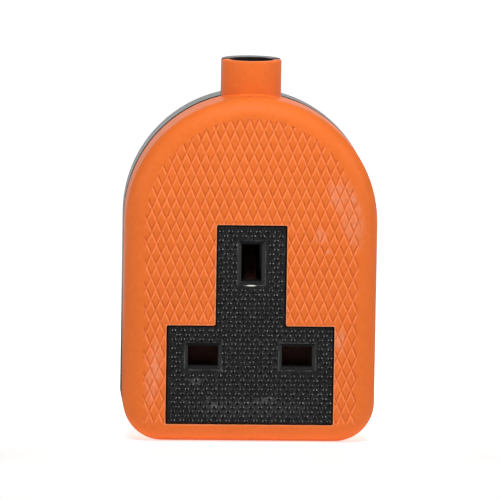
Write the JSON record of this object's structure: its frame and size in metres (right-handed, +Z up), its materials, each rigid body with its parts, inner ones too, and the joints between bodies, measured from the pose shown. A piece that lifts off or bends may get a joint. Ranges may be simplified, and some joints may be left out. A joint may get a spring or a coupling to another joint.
{
  "type": "rubber trailing socket",
  "caption": "Arch-shaped two-part rubber trailing socket with a T-shaped three-pin insert, shuttered apertures and a cord neck on top.",
  "frame": {"origin": "middle of the flat bottom edge the socket stands on", "axes": "+Z up towards the cord neck, -Y out of the pin face, +X to the right seen from the front"},
  "size_m": [0.0596, 0.0344, 0.0896],
  "materials": {
    "orange_rubber": "moulded orange rubber, satin, diamond-grooved front",
    "black_rubber": "moulded black rubber, satin",
    "black_plastic": "hard black moulding with a fine dotted face",
    "red_plastic": "dark red moulding",
    "grey_plastic": "hard grey moulding",
    "brass": "plain rolled and turned brass",
    "zinc_steel": "zinc-plated steel",
    "spring_steel": "bright spring wire"
  },
  "bodies": {
    "housing": {"front_cover": "orange_rubber", "rear_cover": "black_rubber", "socket_body": "black_plastic", "shutter_spring": "spring_steel", "contact_carrier": "grey_plastic", "contact_cap": "grey_plastic", "live_clip": "brass", "neutral_clip": "brass", "earth_clip": "brass", "live_terminal": "brass", "neutral_terminal": "brass", "earth_terminal": "brass", "terminal_screws": "zinc_steel", "clip_rivets": "brass", "carrier_screws": "zinc_steel", "cap_screws": "zinc_steel", "cord_grip_bar": "grey_plastic", "cord_grip_screws": "zinc_steel", "cord_grip_inserts": "brass", "case_screws": "zinc_steel", "case_inserts": "brass"},
    "shutter_slider": {"shutter": "red_plastic"}
  },
  "joints": [
    {"name": "shutter_slide", "type": "slide", "parent": "housing", "child": "shutter_slider", "axis": [0, 0, -1], "range_m": [0, 0.0055], "stiffness_N_per_m": 200, "springref_m": -0.004, "deforming": ["shutter_spring"]}
  ]
}
